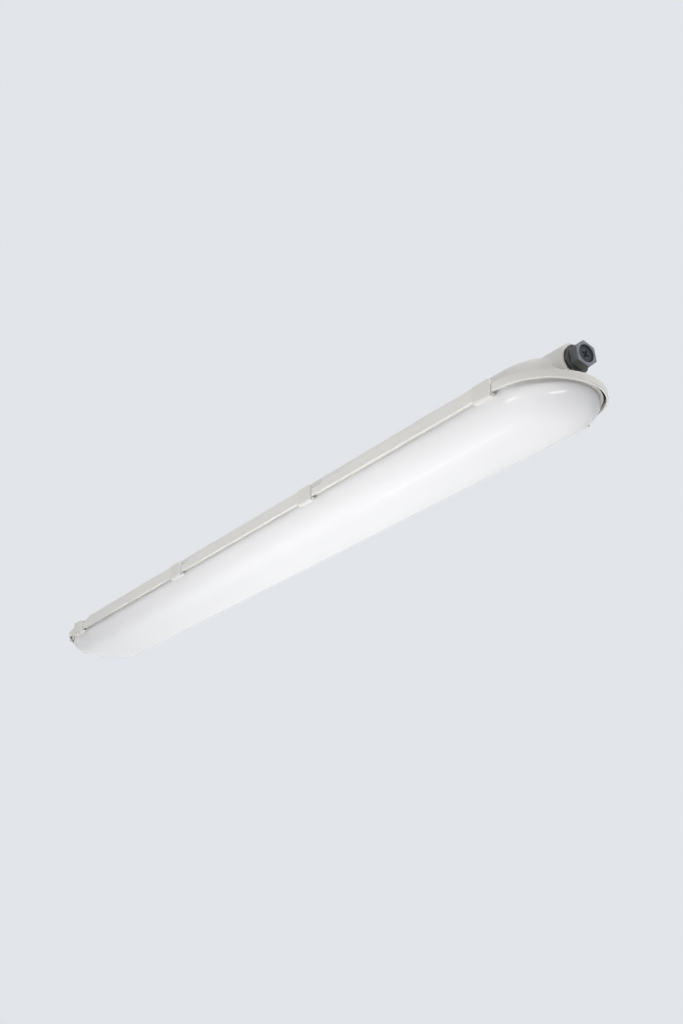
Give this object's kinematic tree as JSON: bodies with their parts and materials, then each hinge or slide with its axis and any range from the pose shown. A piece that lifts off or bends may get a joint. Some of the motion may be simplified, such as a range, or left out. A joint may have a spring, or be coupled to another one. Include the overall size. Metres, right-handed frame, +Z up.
{
  "type": "vapor tight light fixture",
  "caption": "Long sealed ceiling light with a moulded housing, an opal diffuser held by toggle clips, spring mounting brackets and a cable gland.",
  "frame": {"origin": "centre of the housing's flat back, on the ceiling plane", "axes": "+Z up to the ceiling, +X along the fixture towards the cable gland, -Y to the front row of clips"},
  "size_m": [1.1725, 0.135, 0.075],
  "materials": {
    "black_insulation": "smooth",
    "black_rubber": "matt",
    "blue_insulation": "smooth",
    "brown_insulation": "smooth",
    "dark_grey_polyamide": "moulded",
    "green_insulation": "smooth",
    "light_grey_polycarbonate": "light moulded texture",
    "opal_polycarbonate": "smooth opal",
    "red_insulation": "smooth",
    "stainless_steel": "brushed",
    "white_painted_steel": "semi-gloss powder coat",
    "white_plug_plastic": "satin",
    "white_solder_mask": "satin"
  },
  "bodies": {
    "fixture": {"board_connector": "white_plug_plastic", "board_link": "white_plug_plastic", "board_screw_1": "stainless_steel", "board_screw_2": "stainless_steel", "board_screw_3": "stainless_steel", "board_screw_4": "stainless_steel", "board_screw_5": "stainless_steel", "board_screw_6": "stainless_steel", "diffuser": "opal_polycarbonate", "driver_case": "white_plug_plastic", "driver_screw_1": "stainless_steel", "driver_screw_2": "stainless_steel", "earth_screw": "stainless_steel", "earth_wire": "green_insulation", "gasket": "black_rubber", "gear_tray": "white_painted_steel", "gland_body": "dark_grey_polyamide", "gland_insert": "black_rubber", "gland_locknut": "dark_grey_polyamide", "gland_seal": "black_rubber", "housing": "light_grey_polycarbonate", "led_board_1": "white_solder_mask", "led_board_2": "white_solder_mask", "led_wire_minus": "black_insulation", "led_wire_plus": "red_insulation", "supply_wire_live": "brown_insulation", "supply_wire_neutral": "blue_insulation", "terminal_block": "white_plug_plastic", "terminal_screw_1": "stainless_steel", "terminal_screw_2": "stainless_steel", "terminal_screw_3": "stainless_steel", "tray_screw_1": "stainless_steel", "tray_screw_2": "stainless_steel", "tray_screw_3": "stainless_steel", "tray_screw_4": "stainless_steel", "tray_screw_5": "stainless_steel", "tray_screw_6": "stainless_steel"},
    "clip_front_1_body": {"clip_front_1": "light_grey_polycarbonate"},
    "clip_front_2_body": {"clip_front_2": "light_grey_polycarbonate"},
    "clip_front_3_body": {"clip_front_3": "light_grey_polycarbonate"},
    "clip_front_4_body": {"clip_front_4": "light_grey_polycarbonate"},
    "clip_back_1_body": {"clip_back_1": "light_grey_polycarbonate"},
    "clip_back_2_body": {"clip_back_2": "light_grey_polycarbonate"},
    "clip_back_3_body": {"clip_back_3": "light_grey_polycarbonate"},
    "clip_back_4_body": {"clip_back_4": "light_grey_polycarbonate"},
    "cable_cap": {"gland_cap": "dark_grey_polyamide"},
    "bracket_gland_end_body": {"bracket_gland_end": "stainless_steel"},
    "bracket_far_end_body": {"bracket_far_end": "stainless_steel"}
  },
  "joints": [
    {"name": "clip_front_1_hinge", "type": "hinge", "parent": "fixture", "child": "clip_front_1_body", "pos_m": [0.503, -0.0624, -0.0372], "axis": [-1, 0, 0], "range_deg": [0, 95]},
    {"name": "clip_front_2_hinge", "type": "hinge", "parent": "fixture", "child": "clip_front_2_body", "pos_m": [0.1702, -0.0624, -0.0372], "axis": [-1, 0, 0], "range_deg": [0, 95]},
    {"name": "clip_front_3_hinge", "type": "hinge", "parent": "fixture", "child": "clip_front_3_body", "pos_m": [-0.1626, -0.0624, -0.0372], "axis": [-1, 0, 0], "range_deg": [0, 95]},
    {"name": "clip_front_4_hinge", "type": "hinge", "parent": "fixture", "child": "clip_front_4_body", "pos_m": [-0.4954, -0.0624, -0.0372], "axis": [-1, 0, 0], "range_deg": [0, 95]},
    {"name": "clip_back_1_hinge", "type": "hinge", "parent": "fixture", "child": "clip_back_1_body", "pos_m": [0.503, 0.0624, -0.0372], "axis": [1, 0, 0], "range_deg": [0, 95]},
    {"name": "clip_back_2_hinge", "type": "hinge", "parent": "fixture", "child": "clip_back_2_body", "pos_m": [0.1702, 0.0624, -0.0372], "axis": [1, 0, 0], "range_deg": [0, 95]},
    {"name": "clip_back_3_hinge", "type": "hinge", "parent": "fixture", "child": "clip_back_3_body", "pos_m": [-0.1626, 0.0624, -0.0372], "axis": [1, 0, 0], "range_deg": [0, 95]},
    {"name": "clip_back_4_hinge", "type": "hinge", "parent": "fixture", "child": "clip_back_4_body", "pos_m": [-0.4954, 0.0624, -0.0372], "axis": [1, 0, 0], "range_deg": [0, 95]},
    {"name": "cap_turn", "type": "hinge", "parent": "fixture", "child": "cable_cap", "pos_m": [0.5755, 0, -0.0187], "axis": [1, 0, 0], "range_deg": [0, 720]},
    {"name": "bracket_gland_end_slide", "type": "slide", "parent": "fixture", "child": "bracket_gland_end_body", "axis": [1, 0, 0], "range_m": [-0.015, 0.015]},
    {"name": "bracket_far_end_slide", "type": "slide", "parent": "fixture", "child": "bracket_far_end_body", "axis": [1, 0, 0], "range_m": [-0.015, 0.015]}
  ]
}
